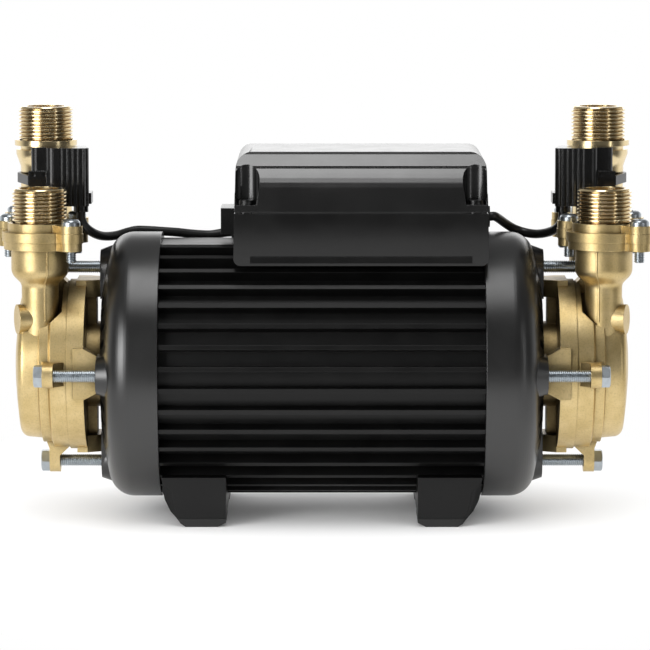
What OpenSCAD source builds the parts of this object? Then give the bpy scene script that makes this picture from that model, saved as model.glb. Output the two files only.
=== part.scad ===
// Twin-ended booster pump set: one finned motor with a brass pump on each end of its shaft.
// X runs along the shaft, +Z is up, and the origin is on the floor under the middle of the motor.
// Heights named z in the port and box values are measured up from the shaft axis.

/* [Motor] */
// Height of the lowest fin tip above the floor
floor_gap = 9.5; // [8:0.5:13]
// Half the length of the finned motor body
body_half = 78.4; // [74.4:0.5:84.4]
// Radius over the fin tips
fin_tip_r = 63.5; // [62:0.25:64]
// Radius at the root of the fins
fin_root_r = 57.5; // [56:0.25:59]
// Bore radius of the motor body
body_bore_r = 53; // [51:0.25:54]
// Number of cooling fins
fin_count = 38; // [34:2:42]
// Half the width of the flat pad on top of the motor body
top_pad_half = 18; // [14:0.5:19]
// Thickness of a fin
fin_t = 2.4; // [1.8:0.1:3]
// Half the length of the stator stack
stack_half = 36; // [30:1:40]
// Radius of the rotor
rotor_r = 27; // [25:0.5:29]
// Radius of the shaft between the bearings
shaft_r = 7.5; // [7:0.25:8]

/* [End bells] */
// Radius over the end bells
bell_r = 65; // [64.5:0.25:66]
// Straight length of an end bell's skirt
bell_skirt = 13.6; // [12.6:0.2:14.6]
// Radius of an end bell's rounded shoulder
bell_round = 12; // [11:0.25:13]
// Wall of an end bell
bell_wall = 4; // [3:0.25:5]
// How far the screw bosses stand out from the motor body
boss_reach = 30.1; // [29.1:0.2:31.5]
// Ventilation slots between two bosses
vent_count = 6; // [4:1:7]
// Width of a ventilation slot
vent_w = 3.4; // [2.6:0.2:3.8]

/* [Pump ends] */
// Radius of the circle of pump screws
screw_circle_r = 48; // [47:0.25:49]
// Length of the bracket arms between end bell and pump
arm_len = 6.5; // [5:0.25:8]
// Thickness of the bracket's ring
ring_t = 8.4; // [7.6:0.2:9.6]
// Radius of the pump rim
rim_r = 41; // [40.5:0.1:41.5]
// Length of the pump casing along the shaft, without its domed end
casing_len = 22.2; // [21.4:0.2:24]
// Height of the domed end of the casing
dome_h = 4.4; // [3:0.2:5]
// Radius of the impeller chamber
chamber_r = 33; // [32:0.25:33.5]
// Radius of the impeller
impeller_r = 30.5; // [28:0.5:31.5]
// Number of impeller vanes
vane_count = 7; // [5:1:9]

/* [Ports] */
// Distance of both ports from the shaft axis, front and rear
port_y = 23; // [22.5:0.25:24]
// Port axes, outward from the casing joint
port_set = 13.3; // [13:0.1:13.8]
// Outer radius of the risers
riser_r = 9; // [8.5:0.25:9.5]
// Bore radius of the risers
riser_bore_r = 6; // [5:0.25:6.25]
// Outer radius of the cup under a port flange
cup_r = 13.9; // [13:0.1:14.5]
// Height of the flange joint above the shaft axis
flange_z = 63.2; // [62:0.2:65]
// Thickness of the casting's own flange
flange_t = 3.9; // [3.5:0.1:5]
// Radius of the flange of a threaded port
plate_r = 18.2; // [17.5:0.1:18.4]
// Outer radius of a port thread, for three quarter inch pipe
thread_r = 13.22; // [13:0.02:13.4]
// Length of a port thread
thread_len = 16.5; // [14:0.5:18]
// Bore radius of a threaded port
port_bore_r = 9.5; // [9:0.1:10]
// Offset of the flange screws from the port axis, along the shaft
flange_screw_x = 16; // [15:0.25:16.5]
// Offset of the flange screws from the port axis, across the shaft
flange_screw_y = 14.6; // [14:0.2:15.4]

/* [Flow switches] */
// Outer radius of the flow switch barrel
barrel_r = 12.6; // [12.2:0.1:12.9]
// Height of the flow switch barrel from its flange to the thread
barrel_h = 37; // [35:0.5:39]
// Travel of the magnetic float
float_travel = 10; // [8:0.5:12]
// Length of the magnetic float
float_len = 15; // [12:0.5:16]
// Diameter of the sensor leads
lead_d = 4.5; // [4:0.1:4.8]

/* [Terminal box] */
// Left end of the box
box_x0 = -42.4; // [-44:0.2:-40]
// Right end of the box
box_x1 = 80; // [76:0.5:80.5]
// Height of the top of the lid above the shaft axis
box_top = 107; // [105:0.5:108.5]
// Height of the joint between base and lid above the shaft axis
box_split = 78.4; // [77.4:0.2:79.4]
// Wall of the box
box_wall = 2.8; // [2.2:0.2:3.4]

/* [Feet] */
// Length of a foot along the shaft
foot_len = 31; // [28:0.5:33]
// How far a foot reaches up the fins
foot_rise = 14.5; // [12:0.5:16]
// Length of the rounded heel of a foot
foot_heel = 11.6; // [9:0.2:13]
// Height of the rubber pads
pad_t = 5; // [4.5:0.25:6]

/* [Fasteners] */
// Shank radius of the pump screws
pump_screw_r = 3; // [2.8:0.1:3.2]
// Width across flats of the pump screw heads
pump_screw_af = 10; // [9:0.5:11]
// Height of the pump screw heads
pump_screw_head = 4.2; // [3.5:0.1:5]
// Shank radius of the flange screws
flange_screw_r = 2.5; // [2.2:0.1:2.7]
// Head radius of the flange screws
flange_screw_head_r = 4.6; // [4.2:0.1:4.9]

/* [Hidden] */
$fn = 64;
slip = 0.1;
seat_gap = 0.3;
run_gap = 0.05;
press_gap = 0.02;
over = 1;

black = "#1b1b1c";
steel = "silver";
brass = "#c9a55c";
rubber = "#111111";

axis_z = fin_tip_r + floor_gap;
top_pad_z = sqrt(pow(fin_tip_r - seat_gap, 2) - pow(top_pad_half, 2));
foot_x1 = body_half - 1.2;
foot_x0 = foot_x1 - foot_len;
foot_half_y = fin_tip_r - 13.5;
foot_top = floor_gap + foot_rise;
boss_x = body_half + boss_reach;
ring_x = boss_x + arm_len;
joint_x = ring_x + ring_t;
drum_end_x = joint_x + casing_len;
dome_x = drum_end_x + dome_h;
port_x = joint_x + port_set;
ring_r = rim_r + 0.8;
rim_len = 8.9;
step_r = rim_r - 2.5;
step_len = 4.4;
drum_r = rim_r - 4.5;

lug_x0 = joint_x + 5.6;
lug_t = 5.2;
lug_x1 = lug_x0 + lug_t;
lug_r = 5.8;

hub_face_x = boss_x - 0.6;
hub_r = 24;
bearing_x0 = boss_x - 20;
bearing_w = 11;
bearing_r = 17.5;
ball_r = 3;
ball_circle_r = (bearing_r + shaft_r) / 2;
ball_count = 8;
race_land = 1.4;
spigot_len = 6;
spigot_wall = 4;

boss_r = 8.6;
boss_root_r = 12.4;
boss_root_x = boss_x - 11;
pad_w = 18;
arm_w = 25;
arm_r0 = 34;
arm_pad = 5;
vent_r0 = 29;
vent_r1 = 51;

seal_r = 12;
seal_hub_r = 21;
seal_seat_t = 3.3;
seal_wall = 2.5;
nose_r = 5;
impeller_gap = 0.8;
impeller_t = 5;
impeller_x0 = joint_x + impeller_gap;
impeller_x1 = impeller_x0 + impeller_t;
chamber_depth = 6.6;
eye_r = 12.5;
eye_neck_r = eye_r - 0.6;
eye_neck_wall = 1.5;
inlet_x0 = joint_x + chamber_depth + 4.6;
inlet_room_r = 26;
nut_af = 12;
nut_h = 4;
seal_ring_r = 1;
seal_ring_circle_r = chamber_r + 3;

riser_z0 = 8;
cup_z = flange_z - flange_t;
neck_z = cup_z - 18.8;
casing_plate_r = plate_r - 0.8;
plate_lug_r = 6;
plate_t = 4.6;
boss_z = flange_z + 8.8;
lug_top_z = boss_z - 0.4;
port_boss_r = 15.5;
flange_screw_end = cup_z - 5.5;
head_h = 3.2;
port_ring_r = 0.9;
port_ring_circle_r = port_bore_r + 2.2;

thread_z = boss_z + barrel_h;
flare_r = barrel_r + 2.1;
collar_r = 15.4;
collar_t = 2.7;
float_r = port_bore_r - 0.5;
float_core_r = 5;
stop_bore_r = port_bore_r - 2;
float_stop = flange_z + float_len + float_travel + seat_gap;

sensor_z0 = boss_z + 6;
sensor_z1 = boss_z + 34.5;
sensor_x0 = port_x - 22.7;
sensor_mid_x = port_x - 1.8;
sensor_x1 = port_x + 5.9;
sensor_y0 = port_y - 28;
sensor_y1 = port_y - 11;
boot_x = port_x - 18.6;
boot_y = port_y - 23;
boot_z = boss_z + 3;
boot_r = 3.6;
strap_z = boss_z + 16;
strap_w = 4.6;
strap_t = 1.5;

box_y0 = -50;
box_y1 = 44;
box_low = 53;
tray_r = fin_tip_r + seat_gap;
tray_t = 3;
gasket_t = 0.8;
lid_low = box_split + gasket_t;
pocket_y = box_y0 + 4;
pocket_r = 6.2;
pocket_floor = lid_low + 3.4;
pocket_in = 6.4;
rear_post_y = box_y1 - 6;
post_r = 4.2;
lid_screw_r = 1.8;
lid_screw_head_r = 3.6;
lid_screw_hold = 14;
entry_len = 6.9;
entry_half_y = 12;
entry_z0 = 65;
entry_z1 = 77.8;
gland_r = 6;
mains_gland_x = 46;
mains_gland_z = 67;
right_gland = [8, bell_r + 7];
left_gland = [31, fin_tip_r - 1.5];
grommet_r = 5.2;
grommet_hole_r = lead_d / 2 + 1.5;

lead_z = axis_z + boot_z;
right_gland_z = axis_z + right_gland[1];
left_gland_z = axis_z + left_gland[1];
// Route of the right sensor lead, from the sensor down and along to the terminal box
right_route = [[boot_x, boot_y, lead_z], [boot_x, boot_y, 145], [116.6, 2, 141], [113.6, 6, 138.2],
    [109.5, 11, 136.4], [105, 16, 135.6], [100, 19, 136.2], [95, 19, 138], [91, 16.5, 140.6],
    [87.5, 12, 143.4], [85, right_gland[0] + 0.6, right_gland_z], [82.5, right_gland[0], right_gland_z],
    [box_x1 - box_wall, right_gland[0], right_gland_z]];
// Route of the left sensor lead, from the sensor down, over the end bell and along the fins
left_route = [[-boot_x, boot_y, lead_z], [-boot_x, boot_y, 145], [-116.4, 0.4, 141], [-113.2, 2.4, 137.9],
    [-109.4, 6.6, 135.7], [-105.4, 12, 134.8], [-101, 17.6, 134.9], [-96.6, 21.6, 135.9], [-92, 23.8, 136.7],
    [-86, 25, 136.5], [-80, 26, 136], [-72, 27.5, 135.3], [-64, 29, 134.3], [-56, 30.4, 133.8],
    [-50, left_gland[0], left_gland_z - 0.4], [-46, left_gland[0], left_gland_z],
    [box_x0 + box_wall, left_gland[0], left_gland_z]];

// Points along an arc about centre c
function arc(c, r, a0, a1, n = 12) =
    [for (i = [0:n]) c + r * [cos(a0 + (a1 - a0) * i / n), sin(a0 + (a1 - a0) * i / n)]];

// Turns a revolved or extruded shape so that its own height runs outward along the shaft
module along_shaft() {
    translate([0, 0, axis_z]) rotate([90, 0, 90]) children();
}

// Ring about the shaft from x0 to x1
module ring(x0, x1, r_out, r_in) {
    along_shaft() translate([0, 0, x0]) difference() {
        cylinder(r = r_out, h = x1 - x0);
        translate([0, 0, -over]) cylinder(r = r_in, h = x1 - x0 + 2 * over);
    }
}

// Disc or rod about the shaft from x0 to x1
module rod(x0, x1, r) {
    along_shaft() translate([0, 0, x0]) cylinder(r = r, h = x1 - x0);
}

// Mirrors a right-hand end onto the left for side -1
module at_end(side) {
    mirror([side < 0 ? 1 : 0, 0, 0]) children();
}

// The four places on the screw circle, turned about the shaft
module at_screws() {
    for (a = [0:90:270]) translate([0, 0, axis_z]) rotate([a, 0, 0]) children();
}

// Upright rod at (x, y) between two heights above the shaft axis
module post(x, y, z0, z1, r) {
    translate([x, y, axis_z + z0]) cylinder(r = r, h = z1 - z0);
}

// Round seal lying flat about the origin, grown by gap for its groove
module seal_torus(circle_r, section_r, gap) {
    rotate_extrude() translate([circle_r, 0]) circle(r = section_r + gap, $fn = 24);
}

// Hexagonal prism, by its width across flats
module hexagon(af, h) {
    cylinder(r = af / sqrt(3), h = h, $fn = 6);
}

// The two flange screws of a port at distance y across; the same diagonal on both ends
module at_flange_screws(side, y) {
    for (s = [-1, 1])
        translate([port_x + s * side * flange_screw_x, y - s * flange_screw_y, axis_z]) children();
}

module motor_shell() {
    color(black) translate([-body_half, 0, 0]) along_shaft() linear_extrude(2 * body_half) difference() {
        union() {
            circle(r = fin_root_r);
            difference() {
                for (i = [0:fin_count - 1]) rotate((i + 0.5) * 360 / fin_count)
                    translate([body_bore_r + over, -fin_t / 2])
                        square([fin_tip_r - body_bore_r - over, fin_t]);
                translate([-top_pad_half, top_pad_z]) square(2 * top_pad_half);
            }
            translate([-top_pad_half, 0]) square([2 * top_pad_half, top_pad_z]);
        }
        circle(r = body_bore_r);
    }
}

// Outline of an end bell in (radius, x), shrunk by inset
module bell_profile(inset) {
    centre = [bell_r - bell_round, body_half + bell_skirt];
    polygon(concat([[0, body_half], [bell_r - inset, body_half]],
        arc(centre, bell_round - inset, 0, 75),
        [[hub_r + 16, hub_face_x - 0.8 - inset], [hub_r, hub_face_x - inset], [0, hub_face_x - inset]]));
}

// Tapered boss for a pump screw, with the flat pad that a bracket arm stands on
module bell_boss() {
    pad_depth = 7;
    translate([boss_root_x, 0, screw_circle_r]) rotate([0, 90, 0])
        cylinder(r1 = boss_root_r, r2 = boss_r, h = boss_x - boss_root_x);
    translate([boss_x - pad_depth, -pad_w / 2, arm_r0 - over])
        cube([pad_depth, pad_w, screw_circle_r - arm_r0 + over]);
}

module end_bell(side) {
    vent_step = 90 / (vent_count + 2.6);
    vent_x0 = boss_x - 13;
    vent_depth = 20;
    color(black) at_end(side) difference() {
        union() {
            along_shaft() difference() {
                rotate_extrude() bell_profile(0);
                rotate_extrude() bell_profile(bell_wall);
            }
            ring(body_half - spigot_len, body_half + over, body_bore_r - slip, body_bore_r - spigot_wall);
            ring(body_half, body_half + bell_wall, bell_r - over, body_bore_r - spigot_wall);
            rod(bearing_x0, hub_face_x, hub_r);
            at_screws() bell_boss();
        }
        rod(bearing_x0 - over, bearing_x0 + bearing_w, bearing_r);
        rod(bearing_x0, hub_face_x + over, shaft_r + 1);
        at_screws() translate([boss_root_x - 3, 0, screw_circle_r]) rotate([0, 90, 0])
            cylinder(r = pump_screw_r, h = boss_x - boss_root_x + 3 + over);
        for (q = [0:90:270], i = [1:vent_count]) translate([0, 0, axis_z])
            rotate([q + 45 + vent_step * (i - (vent_count + 1) / 2), 0, 0])
                translate([vent_x0, -vent_w / 2, vent_r0]) cube([vent_depth, vent_w, vent_r1 - vent_r0]);
    }
}

module stator_core() {
    slot_count = 24;
    tooth_r = rotor_r + 0.5;
    slot_w = 3.2;
    slot_depth = 12;
    color("dimgray") translate([-stack_half, 0, 0]) along_shaft()
    linear_extrude(2 * stack_half) difference() {
        circle(r = body_bore_r - slip);
        circle(r = tooth_r);
        for (i = [0:slot_count - 1]) rotate(i * 360 / slot_count)
            translate([tooth_r + 2, -slot_w / 2]) square([slot_depth, slot_w]);
    }
}

module stator_windings() {
    inner_r = rotor_r + 3;
    outer_r = body_bore_r - 6;
    length = 18;
    soft = 5;
    color("peru") for (side = [-1, 1]) at_end(side) along_shaft() translate([0, 0, stack_half + seat_gap])
        rotate_extrude() polygon(concat([[inner_r, 0], [outer_r, 0]],
            arc([outer_r - soft, length - soft], soft, 0, 90, 6),
            arc([inner_r + soft, length - soft], soft, 90, 180, 6)));
}

module rotor_core() {
    end_ring_t = 8;
    end_x = stack_half + end_ring_t;
    color("lightgray") difference() {
        union() {
            rod(-stack_half, stack_half, rotor_r);
            rod(-end_x, end_x, rotor_r - 2);
        }
        rod(-end_x - over, end_x + over, shaft_r + press_gap);
    }
}

module motor_shaft() {
    shoulder_x = joint_x - 1;
    end_x = impeller_x1 + nut_h;
    color(steel) {
        rod(-shoulder_x, shoulder_x, shaft_r);
        rod(-end_x, end_x, nose_r);
    }
}

// The round groove that the balls run in
module bearing_race() {
    along_shaft() translate([0, 0, bearing_x0 + bearing_w / 2])
        seal_torus(ball_circle_r, ball_r, run_gap);
}

module bearing_outer_rings() {
    color(steel) for (side = [-1, 1]) at_end(side) difference() {
        ring(bearing_x0, bearing_x0 + bearing_w, bearing_r - press_gap, ball_circle_r + race_land);
        bearing_race();
    }
}

module bearing_inner_rings() {
    color(steel) for (side = [-1, 1]) at_end(side) difference() {
        ring(bearing_x0, bearing_x0 + bearing_w - 1, ball_circle_r - race_land, shaft_r + press_gap);
        bearing_race();
    }
}

module bearing_balls() {
    color(steel) for (side = [-1, 1], i = [0:ball_count - 1]) at_end(side) translate([0, 0, axis_z])
        rotate([(i + 0.5) * 360 / ball_count, 0, 0])
            translate([bearing_x0 + bearing_w / 2, 0, ball_circle_r]) sphere(r = ball_r);
}

module cooling_fan() {
    blade_count = 9;
    blade_t = 2;
    blade_len = 12;
    fan_x0 = stack_half + 22;
    fan_r = 40;
    hub = shaft_r + 5;
    color(black) union() {
        ring(fan_x0, fan_x0 + blade_t, fan_r, shaft_r + press_gap);
        ring(fan_x0, fan_x0 + blade_len, hub, shaft_r + press_gap);
        for (i = [0:blade_count - 1]) translate([0, 0, axis_z]) rotate([i * 360 / blade_count, 0, 0])
            translate([fan_x0, -blade_t / 2, hub - over]) cube([blade_len, blade_t, fan_r - hub]);
    }
}

// Side outline of a foot in (x, z), with a rounded heel on the outside that is cut back by waist
module foot_outline(waist) {
    toe = 2;
    heel_x = foot_x1 - waist;
    low_x = foot_x1 - foot_heel;
    heel_z = foot_top - 7;
    polygon([[foot_x0 + 2 * toe, 0], [low_x, 0], [low_x + 0.3 * (heel_x - low_x), 1.6],
        [low_x + 0.66 * (heel_x - low_x), 0.36 * heel_z], [low_x + 0.9 * (heel_x - low_x), 0.7 * heel_z],
        [heel_x, heel_z], [foot_x1, foot_top - 1.4], [foot_x1, foot_top], [foot_x0, foot_top],
        [foot_x0, toe]]);
}

// One foot as a solid: its outer corners are cut back and ribbed
module foot_block() {
    corner = 9;
    rib_t = 1.6;
    rib_count = 3;
    waist = 5.2;
    translate([0, foot_half_y - corner, 0]) rotate([90, 0, 0])
        linear_extrude(2 * (foot_half_y - corner)) foot_outline(0);
    translate([0, foot_half_y, 0]) rotate([90, 0, 0]) linear_extrude(2 * foot_half_y) foot_outline(waist);
    for (s = [-1, 1], i = [1:rib_count]) translate([0, s * (foot_half_y - corner + i * 2.6) + rib_t / 2, 0])
        rotate([90, 0, 0]) linear_extrude(rib_t) foot_outline(i * waist / (rib_count + 2));
}

// Slab of foot height from z0 to z1
module foot_slab(z0, z1) {
    translate([0, -2 * foot_half_y, z0]) cube([2 * body_half, 4 * foot_half_y, z1 - z0]);
}

// Tongues on top of the pads of one foot, grown by gap for their pockets
module pad_tongues(gap) {
    tongue_y = 24;
    inset = 4;
    x0 = foot_x0 + inset;
    x1 = foot_x1 - foot_heel - inset;
    mid_y = foot_half_y - inset - tongue_y / 2;
    for (s = [-1, 1]) translate([x0 - gap, s * mid_y - tongue_y / 2 - gap, pad_t - 2])
        cube([x1 - x0 + 2 * gap, tongue_y + 2 * gap, 2 + gap]);
}

module foot_cradle(side) {
    color(black) at_end(side) difference() {
        intersection() {
            foot_block();
            foot_slab(pad_t - 1, foot_top);
        }
        rod(0, body_half + over, fin_tip_r + seat_gap);
        pad_tongues(slip);
    }
}

module rubber_feet() {
    pad_y = 30;
    color(rubber) for (side = [-1, 1]) at_end(side) {
        intersection() {
            foot_block();
            difference() {
                foot_slab(0, pad_t - 1 - slip);
                translate([0, pad_y - foot_half_y, -over])
                    cube([2 * body_half, 2 * (foot_half_y - pad_y), pad_t + 2 * over]);
            }
        }
        pad_tongues(0);
    }
}

// Side outline of the terminal box in (y, height above the axis), shrunk by inset
module box_profile(inset) {
    back = box_y1 - inset;
    low = inset > 0 ? box_low - over : box_low;
    round_r = 22;
    face_r = 26.6;
    brow_r = 5;
    brow_y = box_y0 + 14.5;
    face_z = box_top - 27;
    belly_r = 90;
    belly_a = asin((box_split - low) / belly_r);
    polygon(concat([[back, low], [back, box_top - 24]],
        arc([box_y1 - round_r, box_top - round_r], round_r - inset, 0, 90, 8),
        arc([brow_y, box_top - brow_r], brow_r - inset, 90, 180, 6),
        [[brow_y - brow_r + inset, face_z + 19.8]],
        arc([box_y0 + face_r, face_z], face_r - inset, 133, 180, 8),
        arc([box_y0 + belly_r, box_split], belly_r - inset, 180, 180 + belly_a, 6)));
}

// Front outline of the terminal box in (x, height above the axis), shrunk by inset
module box_front(inset) {
    r = 8 - inset;
    low_r = max(3.4 - inset, 0.5);
    low = inset > 0 ? box_low - over : box_low;
    x0 = box_x0 + inset;
    x1 = box_x1 - inset;
    top = box_top - inset;
    taper = 1;
    polygon(concat(arc([x1 - low_r, low + low_r], low_r, -90, 0, 4),
        arc([x1 - taper - r, top - r], r, 0, 90, 6), arc([x0 + taper + r, top - r], r, 90, 180, 6),
        arc([x0 + low_r, low + low_r], low_r, 180, 270, 4)));
}

// The whole box as a solid, shrunk by inset
module box_block(inset) {
    intersection() {
        translate([box_x0 - over, 0, axis_z]) rotate([90, 0, 90])
            linear_extrude(box_x1 - box_x0 + 2 * over) box_profile(inset);
        translate([0, box_y1 + over, axis_z]) rotate([90, 0, 0])
            linear_extrude(box_y1 - box_y0 + 2 * over) box_front(inset);
    }
}

// Slab across the whole box between two heights above the axis
module box_slab(z0, z1) {
    translate([box_x0 - 2 * over, box_y0 - 2 * over, axis_z + z0])
        cube([box_x1 - box_x0 + 4 * over, box_y1 - box_y0 + 4 * over, z1 - z0]);
}

// The two front and two rear screw places of the lid
module at_lid_screws() {
    for (x = [box_x0 + pocket_in, box_x1 - pocket_in], y = [pocket_y, rear_post_y])
        translate([x, y, axis_z]) children();
}

module terminal_box_lid() {
    color(black) difference() {
        union() {
            difference() {
                box_block(0);
                box_block(box_wall);
            }
            intersection() {
                box_block(0);
                at_lid_screws() translate([0, 0, lid_low]) cylinder(r = pocket_r + box_wall, h = box_top);
            }
        }
        box_slab(0, lid_low);
        at_lid_screws() translate([0, 0, pocket_floor]) cylinder(r = pocket_r, h = box_top);
        at_lid_screws() cylinder(r = lid_screw_r + 0.2, h = box_top);
    }
}

module lid_gasket() {
    color(rubber) intersection() {
        difference() {
            box_block(0.6);
            box_block(box_wall);
            at_lid_screws() cylinder(r = post_r + slip, h = box_top);
        }
        box_slab(box_split, lid_low);
    }
}

// Cable entry block on the left wall of the base
module entry_block() {
    translate([box_x0 - entry_len, -entry_half_y, axis_z + entry_z0])
        cube([entry_len + box_wall, 2 * entry_half_y, entry_z1 - entry_z0]);
}

module terminal_box_base() {
    lip_in = 8;
    lip_back = 2;
    color(black) difference() {
        union() {
            difference() {
                box_block(0);
                difference() {
                    box_block(box_wall);
                    rod(box_x0, box_x1, tray_r + tray_t);
                    box_slab(0, box_low + tray_t);
                }
            }
            intersection() {
                box_block(0.2);
                at_lid_screws() translate([0, 0, box_low]) cylinder(r = post_r, h = lid_low - box_low);
            }
            entry_block();
            translate([box_x0 + lip_in, box_y0 + lip_back, axis_z + box_low + 1.4])
                cube([box_x1 - box_x0 - 2 * lip_in, 4, 3.2]);
        }
        rod(box_x0 - 2 * entry_len, box_x1 + over, tray_r);
        rod(body_half - seat_gap, box_x1 + over, bell_r + seat_gap);
        difference() {
            box_slab(box_split, 2 * box_top);
            at_lid_screws() translate([0, 0, box_low]) cylinder(r = post_r, h = lid_low - box_low);
        }
        at_lid_screws() translate([0, 0, pocket_floor - lid_screw_hold])
            cylinder(r = lid_screw_r, h = box_top);
        translate([mains_gland_x, box_y1 - box_wall - over, axis_z + mains_gland_z]) rotate([-90, 0, 0])
            cylinder(r = gland_r, h = box_wall + 2 * over);
        for (g = [[box_x1 - box_wall, right_gland], [box_x0, left_gland]])
            translate([g[0] - over, g[1][0], axis_z + g[1][1]]) rotate([0, 90, 0])
                cylinder(r = grommet_hole_r, h = box_wall + 2 * over);
    }
}

module lid_screws() {
    head = 2.2;
    slot_w = 0.8;
    color(steel) at_lid_screws() {
        translate([0, 0, pocket_floor - lid_screw_hold + over])
            cylinder(r = lid_screw_r - press_gap, h = lid_screw_hold - over);
        translate([0, 0, pocket_floor]) difference() {
            cylinder(r = lid_screw_head_r, h = head);
            for (a = [0, 90]) rotate(a) translate([-2, -slot_w / 2, head - over]) cube([4, slot_w, 2]);
        }
    }
}

module run_capacitor() {
    can_r = 14;
    can_len = 62;
    y = -22;
    z = sqrt(pow(tray_r + tray_t + can_r + slip, 2) - y * y);
    color("whitesmoke") translate([0, y, axis_z + z]) rotate([0, 90, 0]) {
        cylinder(r = can_r, h = can_len);
        translate([0, 0, can_len]) cylinder(r = can_r - 3, h = 2);
        for (s = [-1, 1]) translate([-0.4, s * 5 - 2, can_len]) cube([0.8, 4, 8]);
    }
}

module control_board() {
    z = 76;
    board_t = 1.6;
    x0 = -28;
    y0 = 0;
    size = [box_x1 - box_x0 - 34.4, box_y1 - 14];
    stand_r = 3;
    stand_in = 6;
    color("seagreen") translate([x0, y0, axis_z + z]) cube([size[0], size[1], board_t]);
    color(black) difference() {
        for (x = [x0 + stand_in, x0 + size[0] - stand_in], y = [y0 + stand_in, y0 + size[1] - stand_in])
            post(x, y, box_low - over, z, stand_r);
        rod(box_x0, box_x1, tray_r + tray_t);
    }
    color("white") translate([x0 + 40, y0 + 7, axis_z + z + board_t]) cube([19, 15, 14]);
    color("darkgoldenrod") for (x = [x0 + 14, x0 + 26])
        translate([x, y0 + 15, axis_z + z + board_t]) cylinder(r = 4, h = 11);
}

module terminal_block() {
    ways = 3;
    pitch = 7;
    at = [36, 7, axis_z + 77.6];
    depth = 13;
    height = 12;
    color("white") translate(at) difference() {
        cube([ways * pitch, depth, height]);
        for (i = [0:ways - 1]) translate([(i + 0.5) * pitch, -over, 4]) rotate([-90, 0, 0])
            cylinder(r = 1.8, h = depth + 2 * over);
    }
}

module mains_gland() {
    cord_r = 3.8;
    nut_len = 5;
    color(black) translate([mains_gland_x, box_y1, axis_z + mains_gland_z]) rotate([-90, 0, 0]) difference() {
        union() {
            translate([0, 0, -box_wall - 3]) cylinder(r = gland_r - slip, h = box_wall + 3);
            cylinder(r = gland_r + 2, h = nut_len);
            translate([0, 0, nut_len]) cylinder(r1 = gland_r + 1.4, r2 = gland_r - 1, h = nut_len);
        }
        translate([0, 0, -2 * nut_len]) cylinder(r = cord_r, h = 6 * nut_len);
    }
}

// Round grommet seated in a wall of the base, with its flange outside
module grommet() {
    flange = 2.6;
    difference() {
        union() {
            translate([0, 0, -box_wall]) cylinder(r = grommet_hole_r - slip, h = box_wall + over);
            cylinder(r = grommet_r, h = flange);
        }
        translate([0, 0, -box_wall - over])
            cylinder(r = lead_d / 2 + run_gap, h = box_wall + flange + 2 * over);
    }
}

module lead_grommets() {
    color(black) {
        translate([box_x1, right_gland[0], axis_z + right_gland[1]]) rotate([0, 90, 0]) grommet();
        translate([box_x0, left_gland[0], axis_z + left_gland[1]]) rotate([0, -90, 0]) grommet();
    }
}

// Arm from the ring to an end bell boss, wider at the ring and carried on over it as a low pad
module bracket_arm() {
    translate([0, 0, arm_r0]) linear_extrude(ring_r + 0.6 - arm_r0)
        polygon([[boss_x, -pad_w / 2], [ring_x, -arm_w / 2], [ring_x + arm_pad, -arm_w / 2],
            [ring_x + arm_pad, arm_w / 2], [ring_x, arm_w / 2], [boss_x, pad_w / 2]]);
}

// Web between the hub and an arm
module bracket_web() {
    web_w = 11;
    translate([ring_x - 4.6, -web_w / 2, seal_hub_r - 2]) cube([4.6 + over, web_w, arm_r0 - seal_hub_r + 4]);
}

module pump_bracket(side) {
    color(brass) at_end(side) difference() {
        union() {
            rod(ring_x, joint_x, ring_r);
            rod(hub_face_x + seat_gap, ring_x + over, seal_hub_r);
            at_screws() bracket_arm();
            at_screws() bracket_web();
        }
        rod(hub_face_x, joint_x - seal_wall, seal_r);
        rod(hub_face_x, joint_x + over, shaft_r + 1);
        along_shaft() translate([0, 0, joint_x]) seal_torus(seal_ring_circle_r, seal_ring_r, run_gap);
    }
}

module casing_seals() {
    color(rubber) for (side = [-1, 1]) at_end(side) along_shaft() translate([0, 0, joint_x])
        seal_torus(seal_ring_circle_r, seal_ring_r, 0);
}

// Outline of the casing in (radius, x): rim, step, drum and domed end
module casing_profile() {
    rim_x = joint_x + rim_len;
    soft = 4;
    polygon(concat([[0, joint_x], [rim_r, joint_x], [rim_r, rim_x - over], [step_r, rim_x],
        [step_r, rim_x + step_len], [drum_r, rim_x + step_len + 0.6]],
        arc([drum_r - soft - 0.6, drum_end_x - soft + 2], soft, 0, 70, 5),
        [[drum_r - 12, dome_x - 1.4], [drum_r - 22, dome_x - 0.3], [5, dome_x], [0, dome_x]]));
}

// Part of the rim that is cut back round the foot of the risers
module rim_notch() {
    translate([0, 60, axis_z]) rotate([90, 0, 0]) linear_extrude(120)
        polygon([[joint_x + 2.6, 60], [joint_x + 2.6, 29], [joint_x + 8, 24], [port_x, 21.5],
            [dome_x + over, 21.5], [dome_x + over, 60]]);
}

// Tapered lug for a pump screw
module casing_lug() {
    tip = screw_circle_r + lug_r;
    intersection() {
        translate([0, lug_r, 0]) rotate([90, 0, 0]) linear_extrude(2 * lug_r)
            polygon([[joint_x + 0.8, inlet_room_r], [lug_x1 + 2.4, inlet_room_r], [lug_x1 + 2, rim_r - 5],
                [lug_x1, screw_circle_r - 6.6], [lug_x1, tip], [lug_x0, tip], [lug_x0, screw_circle_r - 3],
                [joint_x + 0.8, rim_r - 0.6]]);
        translate([joint_x, 0, 0]) rotate([90, 0, 90]) linear_extrude(20) union() {
            translate([0, screw_circle_r]) circle(r = lug_r);
            translate([-lug_r, 0]) square([2 * lug_r, screw_circle_r]);
        }
    }
}

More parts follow.
